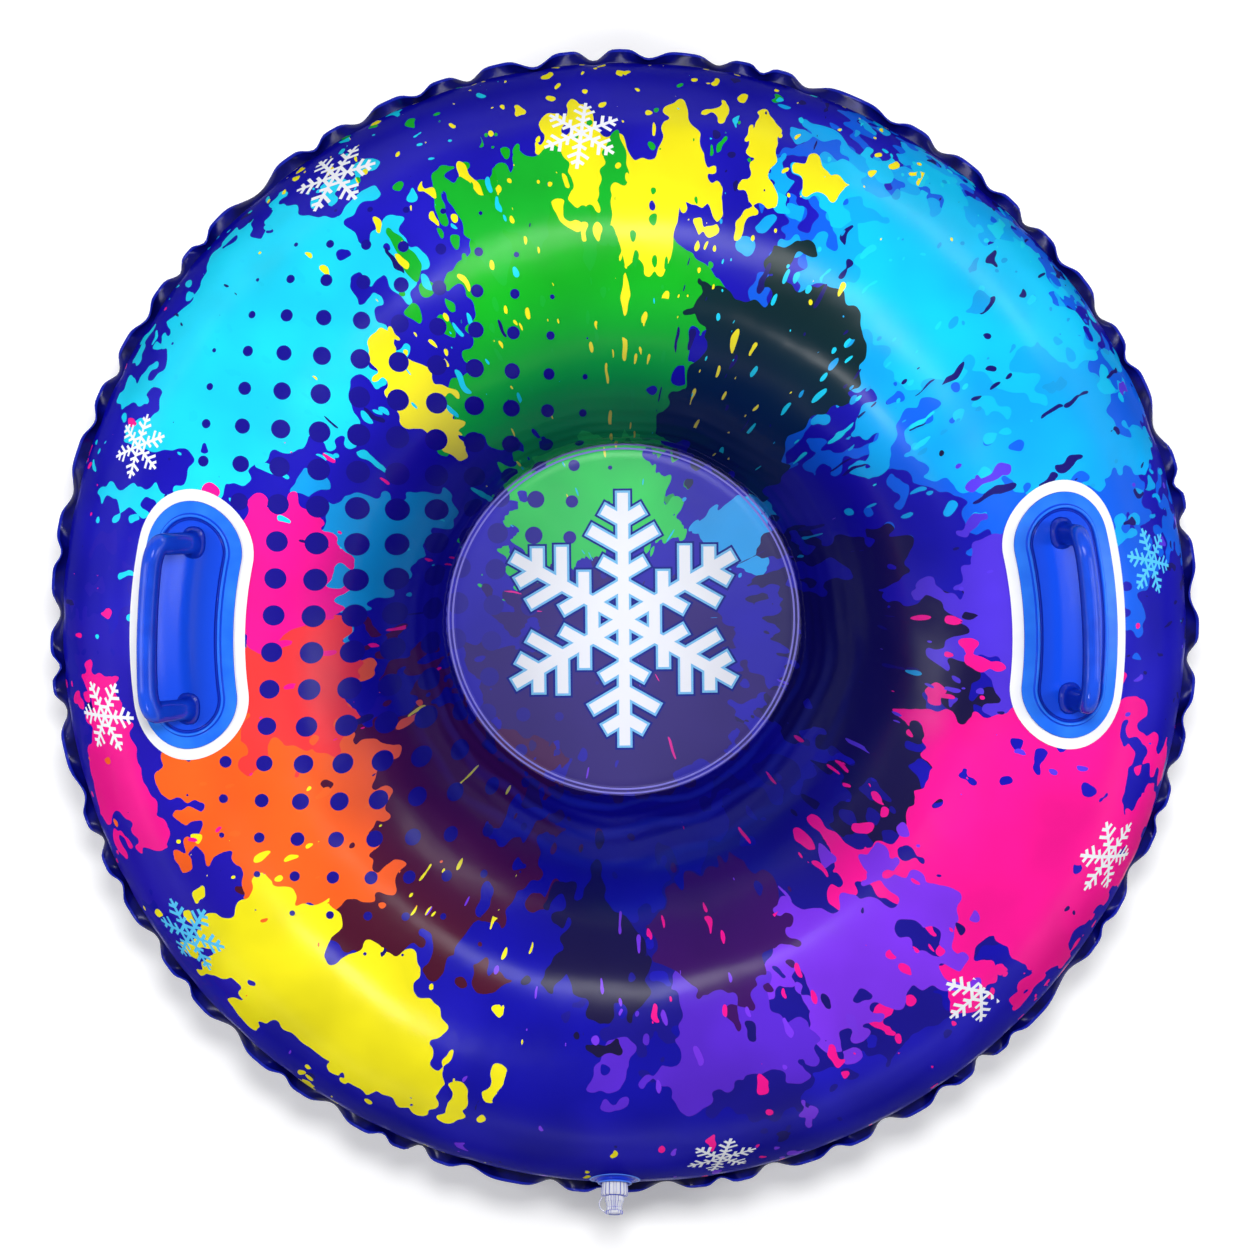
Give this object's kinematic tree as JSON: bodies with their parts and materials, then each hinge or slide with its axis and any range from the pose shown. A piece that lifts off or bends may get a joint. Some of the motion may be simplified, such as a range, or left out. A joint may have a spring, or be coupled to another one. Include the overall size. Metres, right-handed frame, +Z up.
{
  "type": "snow tube",
  "caption": "Round inflatable snow tube with a sunken seat floor, a ruffled welded rim, moulded grab handles on white patches and a plugged inflation valve.",
  "frame": {"origin": "on the tube's axis at floor level", "axes": "+Z up along the tube's axis, handles towards -X and +X, valve towards -Y"},
  "size_m": [1.0329, 1.042, 0.3628],
  "materials": {
    "printed_vinyl": "glossy printed PVC sheet",
    "patch_vinyl": "smooth white PVC sheet",
    "handle_vinyl": "moulded blue PVC, satin gloss",
    "collar_vinyl": "moulded blue PVC, glossy",
    "clear_vinyl": "moulded clear PVC"
  },
  "bodies": {
    "tube": {"top_skin": "printed_vinyl", "bottom_skin": "printed_vinyl", "seat_floor": "printed_vinyl", "rim_weld_flange": "printed_vinyl", "left_handle_patch": "patch_vinyl", "right_handle_patch": "patch_vinyl", "left_handle_base": "handle_vinyl", "right_handle_base": "handle_vinyl", "valve_collar": "collar_vinyl"},
    "left_grip": {"left_handle_grip": "handle_vinyl"},
    "right_grip": {"right_handle_grip": "handle_vinyl"},
    "stem": {"valve_stem": "clear_vinyl", "valve_tether": "clear_vinyl"},
    "plug": {"valve_plug": "clear_vinyl"},
    "flap": {"valve_flap": "clear_vinyl"}
  },
  "joints": [
    {"name": "left_grip_lean", "type": "hinge", "parent": "tube", "child": "left_grip", "pos_m": [-0.37901, 0.01986, 0.3086], "axis": [-0.0523, -0.9986, 0], "range_deg": [-82, 38]},
    {"name": "right_grip_lean", "type": "hinge", "parent": "tube", "child": "right_grip", "pos_m": [0.37901, 0.01986, 0.3086], "axis": [-0.0523, 0.9986, 0], "range_deg": [-55, 64]},
    {"name": "valve_push_in", "type": "slide", "parent": "tube", "child": "stem", "axis": [0.0296, 0.9159, -0.4003], "range_m": [0, 0.011]},
    {"name": "valve_plug_pull", "type": "slide", "parent": "stem", "child": "plug", "axis": [-0.0296, -0.9159, 0.4003], "range_m": [0, 0.018], "deforming": ["valve_tether"]},
    {"name": "valve_flap_open", "type": "hinge", "parent": "stem", "child": "flap", "pos_m": [-0.01616, -0.50032, 0.21735], "axis": [0.9995, -0.0323, 0], "range_deg": [0, 50]}
  ]
}
